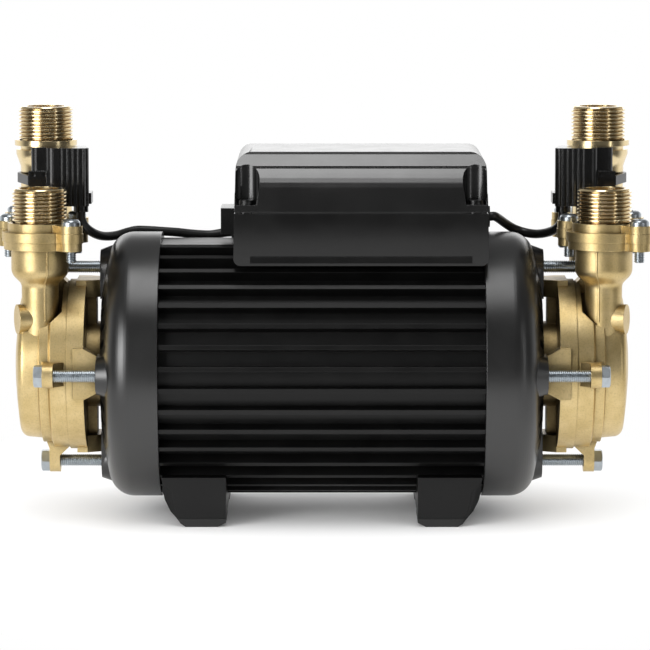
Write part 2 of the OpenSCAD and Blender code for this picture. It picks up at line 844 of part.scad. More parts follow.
// Outline of a riser and the cup above it in (radius, height), grown outward by grow
module riser_outline(grow, low) {
    hollow_r = 4;
    shoulder_r = 6;
    slope = cup_r - riser_r - (hollow_r + shoulder_r) * (1 - cos(45));
    shoulder_z = neck_z + (hollow_r + shoulder_r) * sin(45) + slope;
    polygon(concat([[0, low], [riser_r + grow, low]],
        arc([riser_r + hollow_r, neck_z], hollow_r - grow, 180, 135, 4),
        arc([cup_r - shoulder_r, shoulder_z], shoulder_r + grow, -45, 0, 5),
        [[cup_r + grow, flange_z - grow], [0, flange_z - grow]]));
}

// Riser from the drum up to a port flange, with the seam left by the casting mould
module riser(y) {
    seam_a = y < 0 ? -109 : 71;
    seam_w = 0.9;
    seam_h = 0.45;
    translate([port_x, y, axis_z]) {
        rotate_extrude() riser_outline(0, riser_z0);
        rotate([90, 0, seam_a]) translate([0, 0, -seam_w / 2]) linear_extrude(seam_w)
            riser_outline(seam_h, neck_z - 16);
    }
}

// Two-screw flange outline
module flange_outline(side, r, lug) {
    circle(r = r);
    for (s = [-1, 1]) translate([s * side * flange_screw_x, -s * flange_screw_y]) circle(r = lug);
    rotate(-side * atan2(flange_screw_y, flange_screw_x))
        square([2 * norm([flange_screw_x, flange_screw_y]), 2 * lug - 0.8], center = true);
}

// Impeller chamber, eye, inlet room and the water ways to both ports
module casing_cavities() {
    inlet_z = 10;
    outlet_z = 25;
    way_r = 4.4;
    rod(joint_x - over, joint_x + chamber_depth, chamber_r);
    rod(joint_x, inlet_x0 + over, eye_r);
    rod(inlet_x0, drum_end_x - 1.5, inlet_room_r);
    post(port_x, -port_y, inlet_z, flange_z + over, riser_bore_r);
    post(port_x, port_y, outlet_z, flange_z + over, riser_bore_r);
    translate([joint_x + 2, port_y - 1, axis_z + outlet_z]) rotate([0, 90, 0])
        cylinder(r = way_r, h = port_set - 2);
}

module pump_casing(side) {
    boss_z0 = 25;
    boss_a = -17;
    blind_r = 7.3;
    blind_len = 11.6;
    color(brass) at_end(side) difference() {
        union() {
            difference() {
                along_shaft() rotate_extrude() casing_profile();
                difference() {
                    rim_notch();
                    rod(joint_x, dome_x + 2 * over, drum_r - 0.4);
                }
            }
            at_screws() casing_lug();
            for (y = [-port_y, port_y]) {
                riser(y);
                translate([port_x, y, axis_z + cup_z]) linear_extrude(flange_t)
                    flange_outline(side, casing_plate_r, plate_lug_r - 0.6);
            }
            translate([port_x, -port_y, axis_z + boss_z0]) rotate([0, 90, boss_a])
                cylinder(r = blind_r, h = blind_len);
        }
        casing_cavities();
        at_screws() translate([joint_x - over, 0, screw_circle_r]) rotate([0, 90, 0])
            cylinder(r = pump_screw_r + 0.3, h = casing_len);
        for (y = [-port_y, port_y]) {
            at_flange_screws(side, y) translate([0, 0, cup_z - over])
                cylinder(r = flange_screw_r, h = flange_t + 2 * over);
            translate([port_x, y, axis_z + flange_z - port_ring_r])
                seal_torus(port_ring_circle_r, port_ring_r, run_gap);
        }
        along_shaft() translate([0, 0, joint_x]) seal_torus(seal_ring_circle_r, seal_ring_r, run_gap);
    }
}

// One backward-curved vane, a thin crescent of a ring
module impeller_vane(t) {
    bend_r = 24;
    intersection() {
        translate([-4, 6 - bend_r]) difference() {
            circle(r = bend_r + t);
            circle(r = bend_r);
        }
        translate([9, -impeller_r]) square([impeller_r, 2 * impeller_r]);
    }
}

module impeller(side) {
    shroud = 1.2;
    vane_t = 1.4;
    hub = nose_r + 3;
    color("burlywood") at_end(side) union() {
        ring(impeller_x0, impeller_x0 + shroud, impeller_r, nose_r + press_gap);
        ring(impeller_x0, impeller_x1 - over, hub, nose_r + press_gap);
        ring(impeller_x1 - shroud, impeller_x1, impeller_r, eye_neck_r - eye_neck_wall);
        ring(impeller_x1 - shroud, impeller_x1 + 3, eye_neck_r, eye_neck_r - eye_neck_wall);
        along_shaft() translate([0, 0, impeller_x0]) linear_extrude(impeller_t) intersection() {
            circle(r = impeller_r);
            for (i = [0:vane_count - 1]) rotate(i * 360 / vane_count) impeller_vane(vane_t);
        }
    }
}

module impeller_nuts() {
    color(steel) for (side = [-1, 1]) at_end(side) along_shaft() translate([0, 0, impeller_x1 - over])
    difference() {
        hexagon(nut_af, nut_h);
        translate([0, 0, -over]) cylinder(r = nose_r + press_gap, h = nut_h + 2 * over);
    }
}

module seal_heads() {
    color("#303030") for (side = [-1, 1]) at_end(side)
        ring(ring_x - 4, joint_x - seal_wall - seal_seat_t - run_gap, seal_r - 1.5, shaft_r + press_gap);
}

module seal_seats() {
    color("gainsboro") for (side = [-1, 1]) at_end(side)
        ring(joint_x - seal_wall - seal_seat_t, joint_x - seal_wall, seal_r - slip, shaft_r + 1);
}

// Flange, boss and lugs shared by both kinds of port, without its bore
module port_flange(side, y) {
    translate([port_x, y, axis_z + flange_z]) linear_extrude(plate_t)
        flange_outline(side, plate_r, plate_lug_r);
    post(port_x, y, flange_z, boss_z, port_boss_r);
    translate([port_x, y, axis_z + flange_z]) linear_extrude(lug_top_z - flange_z)
        flange_outline(side, port_boss_r - over, plate_lug_r - 0.3);
}

// Plain thread body with a chamfered lip, from height z0
module port_thread(y, z0) {
    lip = 1;
    post(port_x, y, z0 - over, z0 + thread_len - lip, thread_r);
    translate([port_x, y, axis_z + z0 + thread_len - lip])
        cylinder(r1 = thread_r, r2 = thread_r - lip, h = lip);
}

// Screw holes of a port flange
module port_flange_cuts(side, y) {
    at_flange_screws(side, y) translate([0, 0, flange_z - over])
        cylinder(r = flange_screw_r + 0.3, h = boss_z - flange_z + 2 * over);
}

module inlet_port(side) {
    color(brass) at_end(side) difference() {
        union() {
            port_flange(side, -port_y);
            port_thread(-port_y, boss_z);
        }
        post(port_x, -port_y, flange_z - over, boss_z + thread_len + over, port_bore_r);
        port_flange_cuts(side, -port_y);
    }
}

module flow_switch_body(side) {
    flare_z0 = thread_z - 13;
    flare_z1 = thread_z - 7;
    groove_z = thread_z - 4.7;
    color(brass) at_end(side) difference() {
        union() {
            port_flange(side, port_y);
            post(port_x, port_y, boss_z - over, thread_z, barrel_r);
            translate([port_x, port_y, axis_z + flare_z0])
                cylinder(r1 = barrel_r, r2 = flare_r, h = flare_z1 - flare_z0);
            post(port_x, port_y, flare_z1, groove_z, flare_r);
            post(port_x, port_y, thread_z - collar_t, thread_z, collar_r);
            port_thread(port_y, thread_z);
        }
        post(port_x, port_y, flange_z - over, float_stop, port_bore_r);
        post(port_x, port_y, float_stop - over, thread_z, stop_bore_r);
        post(port_x, port_y, thread_z - collar_t, thread_z + thread_len + over, port_bore_r);
        port_flange_cuts(side, port_y);
    }
}

module flow_float(side) {
    fin_h = 2.8;
    color("#303030") at_end(side) translate([port_x, port_y, axis_z + flange_z]) {
        cylinder(r = float_core_r, h = float_len);
        for (z = [0, float_len - fin_h]) translate([0, 0, z]) linear_extrude(fin_h) difference() {
            circle(r = float_r);
            for (a = [0:90:270]) rotate(a + 45) translate([float_core_r + 1, -2]) square([8, 4]);
        }
    }
}

module port_seals() {
    color(rubber) for (side = [-1, 1], y = [-port_y, port_y]) at_end(side)
        translate([port_x, y, axis_z + flange_z - port_ring_r]) seal_torus(port_ring_circle_r, port_ring_r, 0);
}

// Plan of the reed switch housing: a fluted block and a narrower lobe in front of the barrel
module reed_outline() {
    r = 3;
    polygon(concat(arc([sensor_x0 + r, sensor_y0 + r], r, 180, 270, 5),
        arc([sensor_mid_x - 4, sensor_y0 + 4], 4, -90, 0, 6),
        [[sensor_mid_x, sensor_y0 + 6]],
        arc([sensor_x1 - 3, sensor_y0 + 9], 3, -90, 0, 5),
        [[sensor_x1, sensor_y1 + 2], [sensor_x0 + r, sensor_y1 + 2]]));
}

module reed_switch(side) {
    flute_count = 5;
    flute_r = 0.7;
    collar = 1.1;
    buckle = [9.4, 4, 10];
    pin_r = 0.9;
    color(black) at_end(side) difference() {
        union() {
            translate([0, 0, axis_z + sensor_z0]) linear_extrude(sensor_z1 - sensor_z0) reed_outline();
            translate([sensor_x0 - collar, sensor_y0 + 3, axis_z + sensor_z0 + 1])
                cube([6, sensor_y1 - sensor_y0 - 3, 5.4]);
            post(boot_x, boot_y, boot_z, sensor_z0 + over, boot_r);
            translate([sensor_x1 - buckle[0] + 1, sensor_y0 + 4, axis_z + strap_z - 3]) cube(buckle);
        }
        post(port_x, port_y, 0, 2 * thread_z, barrel_r + slip);
        post(port_x, port_y, thread_z - 13.4, 2 * thread_z, collar_r + seat_gap);
        for (i = [0:flute_count - 1]) translate([sensor_x0 + 3 + i * 2.6, sensor_y0 - 0.2, 0])
            cylinder(r = flute_r, h = axis_z + 2 * thread_z);
        for (x = [sensor_x1 - 6.6, sensor_x1 - 1.2], z = [strap_z - 1.2, strap_z + 5.2])
            translate([x, sensor_y0 + 5, axis_z + z]) rotate([90, 0, 0]) cylinder(r = pin_r, h = 4);
    }
}

// Band round the barrel, open in front where the reed switch sits
module switch_strap(side) {
    color("#151515") at_end(side) translate([port_x, port_y, axis_z + strap_z])
    linear_extrude(strap_w) difference() {
        circle(r = barrel_r + slip + strap_t);
        circle(r = barrel_r + slip);
        translate([-40, -40]) square([80, 40 + sensor_y1 + 2 - port_y]);
    }
}

// Tube of eight sides swept along a route
module lead_tube(route) {
    sides = 8;
    n = len(route);
    rings = [for (i = [0:n - 1]) let (
        d = route[min(i + 1, n - 1)] - route[max(i - 1, 0)],
        t = d / norm(d),
        u0 = cross(t, [0, 1, 0]),
        u = u0 / norm(u0),
        v = cross(t, u))
        [for (k = [0:sides - 1]) route[i] + lead_d / 2 * (u * cos(k * 360 / sides) + v * sin(k * 360 / sides))]];
    points = [for (r = rings) for (p = r) p];
    walls = [for (i = [0:n - 2], k = [0:sides - 1]) let (a = i * sides + k, b = i * sides + (k + 1) % sides)
        for (f = [[a, b, b + sides], [a, b + sides, a + sides]]) f];
    polyhedron(points, concat(walls, [[for (k = [sides - 1:-1:0]) k]],
        [[for (k = [0:sides - 1]) (n - 1) * sides + k]]));
}

module left_sensor_lead() {
    color("#181818") lead_tube(left_route);
}

module right_sensor_lead() {
    color("#181818") lead_tube(right_route);
}

module pump_screws() {
    end_x = boss_root_x - 2;
    color(steel) for (side = [-1, 1]) at_end(side) at_screws() translate([end_x, 0, screw_circle_r])
        rotate([0, 90, 0]) {
            cylinder(r = pump_screw_r - press_gap, h = lug_x1 - end_x);
            translate([0, 0, lug_x1 - end_x]) hexagon(pump_screw_af, pump_screw_head);
        }
}

module flange_screws() {
    slot = [2 * flange_screw_head_r - 4, 1, 2];
    color(steel) for (side = [-1, 1], y = [-port_y, port_y]) at_end(side) at_flange_screws(side, y) {
        translate([0, 0, flange_screw_end])
            cylinder(r = flange_screw_r - press_gap, h = lug_top_z - flange_screw_end);
        translate([0, 0, lug_top_z]) difference() {
            cylinder(r = flange_screw_head_r, h = head_h);
            for (a = [0, 90]) rotate(a)
                translate([-slot[0] / 2, -slot[1] / 2, head_h - 1.2]) cube(slot);
        }
    }
}

motor_shell();
end_bell(-1);  // left_end_bell
end_bell(1);  // right_end_bell
stator_core();
stator_windings();
rotor_core();
motor_shaft();
bearing_outer_rings();
bearing_inner_rings();
bearing_balls();
cooling_fan();
foot_cradle(-1);  // left_foot_cradle
foot_cradle(1);  // right_foot_cradle
rubber_feet();
terminal_box_base();
terminal_box_lid();
lid_gasket();
lid_screws();
run_capacitor();
control_board();
terminal_block();
mains_gland();
lead_grommets();
pump_bracket(-1);  // left_pump_bracket
pump_bracket(1);  // right_pump_bracket
pump_casing(-1);  // left_pump_casing
pump_casing(1);  // right_pump_casing
impeller(-1);  // left_impeller
impeller(1);  // right_impeller
impeller_nuts();
seal_heads();
seal_seats();
casing_seals();
inlet_port(-1);  // left_inlet_port
inlet_port(1);  // right_inlet_port
flow_switch_body(-1);  // left_flow_switch_body
flow_switch_body(1);  // right_flow_switch_body
flow_float(-1);  // left_flow_float
flow_float(1);  // right_flow_float
port_seals();
reed_switch(-1);  // left_reed_switch
reed_switch(1);  // right_reed_switch
switch_strap(-1);  // left_switch_strap
switch_strap(1);  // right_switch_strap
left_sensor_lead();
right_sensor_lead();
pump_screws();
flange_screws();
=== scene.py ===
"""Looks of a twin-ended booster pump set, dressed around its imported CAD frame.

Metres, +Z up. X runs along the motor shaft and the camera stands on the -Y side.
"""
import math

import bmesh
import bpy
from mathutils import Matrix, Vector


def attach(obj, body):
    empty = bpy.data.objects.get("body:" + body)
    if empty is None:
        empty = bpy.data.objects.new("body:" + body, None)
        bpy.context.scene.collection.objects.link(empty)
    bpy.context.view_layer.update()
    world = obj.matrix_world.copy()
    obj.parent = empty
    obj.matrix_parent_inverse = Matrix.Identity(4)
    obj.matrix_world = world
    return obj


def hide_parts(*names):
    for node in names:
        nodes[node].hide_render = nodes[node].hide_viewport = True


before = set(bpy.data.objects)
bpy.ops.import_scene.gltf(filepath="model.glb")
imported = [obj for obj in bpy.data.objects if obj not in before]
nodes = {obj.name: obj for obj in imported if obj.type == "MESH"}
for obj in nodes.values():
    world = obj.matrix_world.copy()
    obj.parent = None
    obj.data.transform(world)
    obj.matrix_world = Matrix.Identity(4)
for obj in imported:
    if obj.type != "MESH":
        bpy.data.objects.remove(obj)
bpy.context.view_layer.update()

MM = 0.001
FRAME_BODY = "pump_frame"
ENDS = {"left": -1, "right": 1}

# Sizes that the part's source also gives
AXIS_Z = 73 * MM
PORT_X = 136.7 * MM
PORT_Y = 23 * MM
BOSS_Z = AXIS_Z + 72 * MM
SWITCH_THREAD_Z = AXIS_Z + 109 * MM
THREAD_R = 13.22 * MM
THREAD_LEN = 16.5 * MM
LEAD_D = 4.5 * MM

# The turned band where casing and bracket meet: its middle, half width and largest radius
TURNED_X = 121 * MM
TURNED_HALF = 6 * MM
TURNED_R = 56 * MM


# Camera, at the photograph's viewing angle

CAMERA_AT = (0.0015, -1.85, 0.313)
CAMERA_PITCH = 6.81
LENS = 209.7
SENSOR = 36


def add(name, data):
    """A new object in the scene."""
    made = bpy.data.objects.new(name, data)
    bpy.context.scene.collection.objects.link(made)
    return made


camera = add("camera", bpy.data.cameras.new("camera"))
camera.location = CAMERA_AT
camera.rotation_euler = (math.radians(90 - CAMERA_PITCH), 0, 0)
camera.data.lens = LENS
camera.data.sensor_width = SENSOR
bpy.context.scene.camera = camera


# Materials


def socket_name(name):
    """The shader's own spelling of a socket, such as Base Color for base_color."""
    return name.replace("_", " ").title().replace("Ior", "IOR")


class Finish:
    """A material in the making: its node tree, its shader and short ways to add nodes."""

    def __init__(self, name, **constants):
        self.material = bpy.data.materials.new(name)
        self.material.use_nodes = True
        self.tree = self.material.node_tree
        self.shader = self.tree.nodes["Principled BSDF"]
        for socket, value in constants.items():
            self.shader.inputs[socket_name(socket)].default_value = value
        self.place = self.tree.nodes.new("ShaderNodeTexCoord").outputs["Object"]

    def node(self, kind, sockets, **settings):
        """Adds a node; each socket takes a value or another node's output."""
        made = self.tree.nodes.new("ShaderNode" + kind)
        for name, value in settings.items():
            setattr(made, name, value)
        for name, value in sockets.items():
            if isinstance(value, bpy.types.NodeSocket):
                self.tree.links.new(value, made.inputs[name])
            else:
                made.inputs[name].default_value = value
        return made

    def noise(self, size, detail=2, stretch=(1, 1, 1)):
        """Noise whose grains are about size metres wide; stretch squeezes it along an axis."""
        place = self.node("Mapping", {"Vector": self.place, "Scale": stretch}).outputs["Vector"]
        return self.node("TexNoise", {"Vector": place, "Scale": 1 / size, "Detail": detail}).outputs["Fac"]

    def stripes(self, width, axis, soften=0):
        """Regular stripes across one axis, width metres apart."""
        sockets = {"Vector": self.place, "Scale": math.pi / (10 * width), "Distortion": soften}
        return self.node("TexWave", sockets, bands_direction=axis).outputs["Fac"]

    def between(self, factor, low, high, start=0.35, end=0.65):
        """A number from low to high as the factor goes from start to end."""
        sockets = {"Value": factor, "From Min": start, "From Max": end, "To Min": low, "To Max": high}
        return self.node("MapRange", sockets).outputs["Result"]

    def colour(self, factor, *stops):
        """Colour ramp over the factor; each stop is (position, red, green, blue)."""
        made = self.node("ValToRGB", {"Fac": factor})
        ramp = made.color_ramp.elements
        while len(ramp) < len(stops):
            ramp.new(0.5)
        for element, (position, *rgb) in zip(ramp, stops):
            element.position = position
            element.color = (*rgb, 1)
        return made.outputs["Color"]

    def split(self, vector):
        """The three parts of a vector."""
        return self.node("SeparateXYZ", {0: vector}).outputs

    def math(self, operation, first, second=0.0):
        """One sum over numbers or outputs."""
        return self.node("Math", {0: first, 1: second}, operation=operation).outputs[0]

    def bump(self, height, depth, under=None, strength=1.0):
        """Bumps of depth metres from a 0 to 1 height, on top of another normal."""
        sockets = {"Height": height, "Distance": depth, "Strength": strength}
        if under is not None:
            sockets["Normal"] = under
        return self.node("Bump", sockets).outputs["Normal"]

    def soft_edges(self, radius):
        """Normals that round the edges off by radius metres."""
        return self.node("Bevel", {"Radius": radius}, samples=6).outputs["Normal"]

    def crevices(self, reach, own=True):
        """An occlusion number that goes from 1 on open faces towards 0 in gaps narrower than reach metres;
        the brass finishes darken their colour by it as painted shade.

        With own set, only the piece's own faces count as neighbours.
        """
        return self.node("AmbientOcclusion", {"Distance": reach}, samples=6, only_local=own).outputs["AO"]

    def tinted(self, factor, dark, pale):
        """Colour from dark to pale, where pale may be another output."""
        return self.node("Mix", {0: factor, 6: (*dark, 1), 7: pale}, data_type="RGBA").outputs[2]

    def link(self, **sockets):
        """Connects outputs to the shader's sockets and returns the material."""
        for name, value in sockets.items():
            self.tree.links.new(value, self.shader.inputs[socket_name(name)])
        return self.material


def cast_brass():
    """Sand-cast brass with a fine grain and cloudy tone, and painted shade in narrow gaps and near other
    parts; the joint between the pump halves is turned.
    """
    finish = Finish("cast_brass", metallic=1.0, coat_weight=0.1, coat_roughness=0.34)
    grain = finish.noise(0.7 * MM, 3)
    cloud = finish.noise(9 * MM, 3)
    coarse = finish.noise(1.6 * MM, 2)
    lines = finish.noise(0.45 * MM, 2, (1, 0.02, 0.02))
    along, across, up = finish.split(finish.place)
    from_joint = finish.math("ABSOLUTE", finish.math("SUBTRACT", finish.math("ABSOLUTE", along), TURNED_X))
    height = finish.math("SUBTRACT", up, AXIS_Z)
    squares = finish.math("ADD", finish.math("POWER", across, 2), finish.math("POWER", height, 2))
    radius = finish.math("SQRT", squares)
    band = finish.between(from_joint, 1, 0, TURNED_HALF, TURNED_HALF + 0.5 * MM)
    turned = finish.math("MULTIPLY", band, finish.between(radius, 1, 0, TURNED_R, TURNED_R + 2 * MM))
    tone = finish.colour(cloud, (0.3, 0.63, 0.475, 0.215), (0.7, 0.76, 0.595, 0.305))
    pits = finish.between(grain, 0.84, 1, 0.3, 0.5)
    # Painted shade: occlusion darkens the colour towards dark brown in narrow gaps and where other parts
    # stand close, on top of the casting's own pits.
    painted_gap_shade = finish.between(finish.crevices(5 * MM), 0.45, 1, 0.3, 0.8)
    painted_shade_near_parts = finish.between(finish.crevices(26 * MM, False), 0.22, 1, 0.25, 0.62)
    pits_and_painted_shade = finish.math("MULTIPLY", pits, finish.math("MULTIPLY", painted_gap_shade, painted_shade_near_parts))
    base = finish.tinted(pits_and_painted_shade, (0.05, 0.03, 0.01), tone)
    rough = finish.between(grain, 0.46, 0.38)
    normal = finish.bump(coarse, 0.08 * MM, finish.soft_edges(0.4 * MM), 0.5)
    normal = finish.bump(grain, 0.06 * MM, normal, 0.6)
    normal = finish.bump(lines, 0.05 * MM, normal, turned)
    return finish.link(base_color=base, roughness=rough, normal=normal)


def machined_brass():
    """Turned brass: bright, with fine tool lines round the port axis and painted shade in its thread roots.
    """
    finish = Finish("machined_brass", metallic=1.0)
    lines = finish.noise(0.3 * MM, 2, (0.02, 0.02, 1))
    cloud = finish.noise(6 * MM, 2)
    tone = finish.colour(cloud, (0.3, 0.82, 0.65, 0.36), (0.7, 0.88, 0.73, 0.45))
    # Painted shade: occlusion darkens the colour towards brown in the thread roots and other narrow gaps.
    tone = finish.tinted(finish.between(finish.crevices(1.6 * MM), 0, 1, 0.2, 0.7), (0.36, 0.24, 0.1), tone)
    rough = finish.between(lines, 0.17, 0.25)
    normal = finish.bump(lines, 0.01 * MM, finish.soft_edges(0.2 * MM), 0.4)
    return finish.link(base_color=tone, roughness=rough, normal=normal)


def zinc_steel():
    """Zinc-plated steel: bluish silver with a faint cloud."""
    finish = Finish("zinc_steel", metallic=1.0)
    cloud = finish.noise(2.5 * MM, 2)
    tone = finish.colour(cloud, (0.3, 0.42, 0.46, 0.49), (0.7, 0.50, 0.545, 0.58))
    rough = finish.between(cloud, 0.3, 0.36)
    return finish.link(base_color=tone, roughness=rough)


def near_black_steel():
    """Near-black metal on a small screw, with a little paler metal in its cloud."""
    finish = Finish("near_black_steel", metallic=1.0)
    cloud = finish.noise(1.5 * MM, 3)
    tone = finish.colour(cloud, (0.4, 0.03, 0.03, 0.03), (0.8, 0.10, 0.10, 0.10))
    rough = finish.between(cloud, 0.28, 0.40)
    return finish.link(base_color=tone, roughness=rough, normal=finish.soft_edges(0.2 * MM))


def satin_black(name, dark, pale, rough, grain, depth, edge, gleam):
    """Black paint or plastic: grained, with cloudy gloss and a dusty variation of its black."""
    finish = Finish(name, specular_ior_level=gleam)
    cloud = finish.noise(14 * MM, 3)
    fine = finish.noise(grain, 2)
    tone = finish.colour(cloud, (0.3, dark, dark, dark), (0.7, pale, pale, pale * 0.97))
    gloss = finish.between(cloud, rough - 0.015, rough + 0.02)
    normal = finish.bump(fine, depth, finish.soft_edges(edge), 0.6)
    return finish.link(base_color=tone, roughness=gloss, normal=normal)


def black_rubber():
    """Moulded rubber: dull, with a soft bloom."""
    finish = Finish("black_rubber")
    bloom = finish.noise(5 * MM, 4)
    fine = finish.noise(0.4 * MM, 2)
    tone = finish.colour(bloom, (0.3, 0.006, 0.006, 0.006), (0.75, 0.016, 0.016, 0.0155))
    rough = finish.between(bloom, 0.62, 0.82)
    normal = finish.bump(fine, 0.03 * MM, finish.soft_edges(0.6 * MM), 0.7)
    return finish.link(base_color=tone, roughness=rough, normal=normal)


def laminated_steel():
    """Stack of thin stamped sheets across the shaft."""
    finish = Finish("core_steel", metallic=1.0)
    sheets = finish.stripes(0.5 * MM, "X")
    tone = finish.colour(sheets, (0.2, 0.20, 0.20, 0.21), (0.8, 0.42, 0.42, 0.43))
    rough = finish.between(finish.noise(3 * MM, 2), 0.35, 0.5)
    return finish.link(base_color=tone, roughness=rough, normal=finish.bump(sheets, 0.05 * MM))


def copper_wire():
    """Lacquered winding wire laid side by side."""
    finish = Finish("copper_wire", metallic=1.0)
    wires = finish.stripes(0.8 * MM, "Z", 1.5)
    tone = finish.colour(wires, (0.1, 0.30, 0.10, 0.03), (0.8, 0.72, 0.30, 0.12))
    rough = finish.between(finish.noise(2 * MM, 2), 0.22, 0.36)
    return finish.link(base_color=tone, roughness=rough, normal=finish.bump(wires, 0.2 * MM))


def bright_steel():
    """Ground bearing and shaft steel with fine lines along its length."""
    finish = Finish("bright_steel", metallic=1.0)
    lines = finish.noise(0.3 * MM, 2, (1, 0.05, 0.05))
    tone = finish.colour(lines, (0.3, 0.55, 0.55, 0.56), (0.7, 0.68, 0.68, 0.69))
    rough = finish.between(lines, 0.14, 0.26)
    return finish.link(base_color=tone, roughness=rough, normal=finish.soft_edges(0.2 * MM))


def moulded(name, low, high, rough):
    """Plain moulded plastic or ceramic with a faint cloud and a fine grain."""
    finish = Finish(name)
    cloud = finish.noise(7 * MM, 3)
    tone = finish.colour(cloud, (0.3, *low), (0.7, *high))
    gloss = finish.between(cloud, rough - 0.05, rough + 0.06)
    normal = finish.bump(finish.noise(0.3 * MM, 2), 0.01 * MM, finish.soft_edges(0.3 * MM))
    return finish.link(base_color=tone, roughness=gloss, normal=normal)


# The black finishes: darkest and palest tone, roughness, grain width and depth, edge radius, specular level
BLACKS = {
    "fin_paint": (0.002, 0.0035, 0.38, 0.9 * MM, 0.015 * MM, 0.4 * MM, 0.3),
    "bell_paint": (0.004, 0.006, 0.31, 0.7 * MM, 0.01 * MM, 0.8 * MM, 0.85),
    "box_plastic": (0.003, 0.0045, 0.23, 0.3 * MM, 0.003 * MM, 0.25 * MM, 1.0),
    "base_plastic": (0.003, 0.0045, 0.25, 0.3 * MM, 0.003 * MM, 0.25 * MM, 0.42),
    "switch_plastic": (0.0025, 0.004, 0.2, 0.3 * MM, 0.003 * MM, 0.4 * MM, 0.6),
    "lead_sheath": (0.005, 0.008, 0.36, 0.5 * MM, 0.006 * MM, 0.2 * MM, 0.5),
}

FINISHES = {
    **{name: satin_black(name, *values) for name, values in BLACKS.items()},
    "near_black_steel": near_black_steel(),
    "black_rubber": black_rubber(),
    "cast_brass": cast_brass(),
    "machined_brass": machined_brass(),
    "zinc_steel": zinc_steel(),
    "core_steel": laminated_steel(),
    "copper_wire": copper_wire(),
    "bright_steel": bright_steel(),
    "pale_plastic": moulded("pale_plastic", (0.62, 0.60, 0.54), (0.72, 0.70, 0.64), 0.38),
    "board_green": moulded("board_green", (0.01, 0.10, 0.04), (0.02, 0.15, 0.06), 0.34),
    "impeller_plastic": moulded("impeller_plastic", (0.30, 0.20, 0.09), (0.42, 0.29, 0.14), 0.36),
    "seal_carbon": moulded("seal_carbon", (0.02, 0.02, 0.02), (0.05, 0.05, 0.05), 0.45),
}

# The finish of each CAD node; a name that holds for both ends leaves its side out
NODE_FINISH = {
    "motor_shell": "fin_paint",
    "end_bell": "bell_paint",
    "stator_core": "core_steel",
    "stator_windings": "copper_wire",
    "rotor_core": "core_steel",
    "motor_shaft": "bright_steel",
    "bearing_outer_rings": "bright_steel",
    "bearing_inner_rings": "bright_steel",
    "bearing_balls": "bright_steel",
    "cooling_fan": "box_plastic",
    "foot_cradle": "fin_paint",
    "rubber_feet": "black_rubber",
    "terminal_box_base": "base_plastic",
    "terminal_box_lid": "box_plastic",
    "lid_gasket": "black_rubber",
    "lid_screws": "near_black_steel",
    "run_capacitor": "pale_plastic",
    "control_board": "board_green",
    "terminal_block": "pale_plastic",
    "mains_gland": "switch_plastic",
    "lead_grommets": "black_rubber",
    "pump_bracket": "cast_brass",
    "pump_casing": "cast_brass",
    "impeller": "impeller_plastic",
    "impeller_nuts": "machined_brass",
    "seal_heads": "seal_carbon",
    "seal_seats": "pale_plastic",
    "casing_seals": "black_rubber",
    "inlet_port": "machined_brass",
    "flow_switch_body": "machined_brass",
    "flow_float": "impeller_plastic",
    "port_seals": "black_rubber",
    "reed_switch": "switch_plastic",
    "switch_strap": "switch_plastic",
    "sensor_lead": "lead_sheath",
    "pump_screws": "zinc_steel",
    "flange_screws": "zinc_steel",
}


def plain_name(node):
    """The node's name without its side."""
    side, _, rest = node.partition("_")
    return rest if side in ENDS else node


for name, thing in nodes.items():
    thing.data.materials.clear()
    thing.data.materials.append(FINISHES[NODE_FINISH[plain_name(name)]])


# Mesh helpers

# Faces that meet at more than this angle, in degrees, keep a sharp edge
SHARP = 30

# Points nearer than this are one point: on CAD copies and on threads
WELD = 0.001 * MM
THREAD_WELD = 0.002 * MM

# Radius of a ring that is small enough to be welded to a point
POLE_R = 0.001 * MM

# Outline of one turn of a thread: share of the pitch, and share of the depth below the crest
THREAD_FORM = ((0, 0), (0.38, 0), (0.6, 1), (0.78, 1))


def smooth(mesh, angle):
    """Smooth shading with edges kept sharp where faces meet at more than the angle."""
    stored = mesh.attributes.get("custom_normal")
    if stored is not None:
        mesh.attributes.remove(stored)
    mesh.shade_smooth()
    mesh.set_sharp_from_angle(angle=math.radians(angle))


def as_mesh(bm, name):
    """A new mesh with all that is in the bmesh, which is freed."""
    mesh = bpy.data.meshes.new(name)
    bm.to_mesh(mesh)
    bm.free()
    return mesh


def welded_copy(node):
    """A bmesh copy of a CAD node, with the points that lie on each other made one."""
    bm = bmesh.new()
    bm.from_mesh(nodes[node].data)
    bmesh.ops.remove_doubles(bm, verts=bm.verts, dist=WELD)
    return bm


def piece(name, bm, finishes, node, angle=SHARP):
    """Turns a bmesh into an object that rides the pump frame and stands for a CAD node."""
    mesh = as_mesh(bm, name)
    smooth(mesh, angle)
    for finish in finishes:
        mesh.materials.append(FINISHES[finish])
    made = add(name, mesh)
    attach(made, FRAME_BODY)
    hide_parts(node)
    return made


def screw_thread(bm, place, crest, depth, pitch, length, lip, sides):
    """Adds a screw thread along the place's Z axis, as rows of faces that follow the helix.

    The last lip of the length is chamfered, and below its start the thread is at its root radius.
    """
    turns = math.ceil(length / pitch) + 1
    columns = []
    for side in range(sides + 1):
        part_turn = side / sides
        spin = Matrix.Rotation(2 * math.pi * part_turn, 3, "Z")
        column = []
        for turn in range(-1, turns):
            for phase, sunk in THREAD_FORM:
                z = (turn + phase + part_turn) * pitch
                radius = crest - sunk * depth
                if z <= 0:
                    z, radius = 0, crest - depth
                elif z >= length:
                    z, radius = length, crest - lip
                radius = min(radius, crest - max(0, z - length + lip))
                column.append(bm.verts.new(place @ (spin @ Vector((radius, 0, z)))))
        columns.append(column)
    for here, there in zip(columns, columns[1:]):
        for low in range(len(here) - 1):
            bm.faces.new((here[low], there[low], there[low + 1], here[low + 1]))


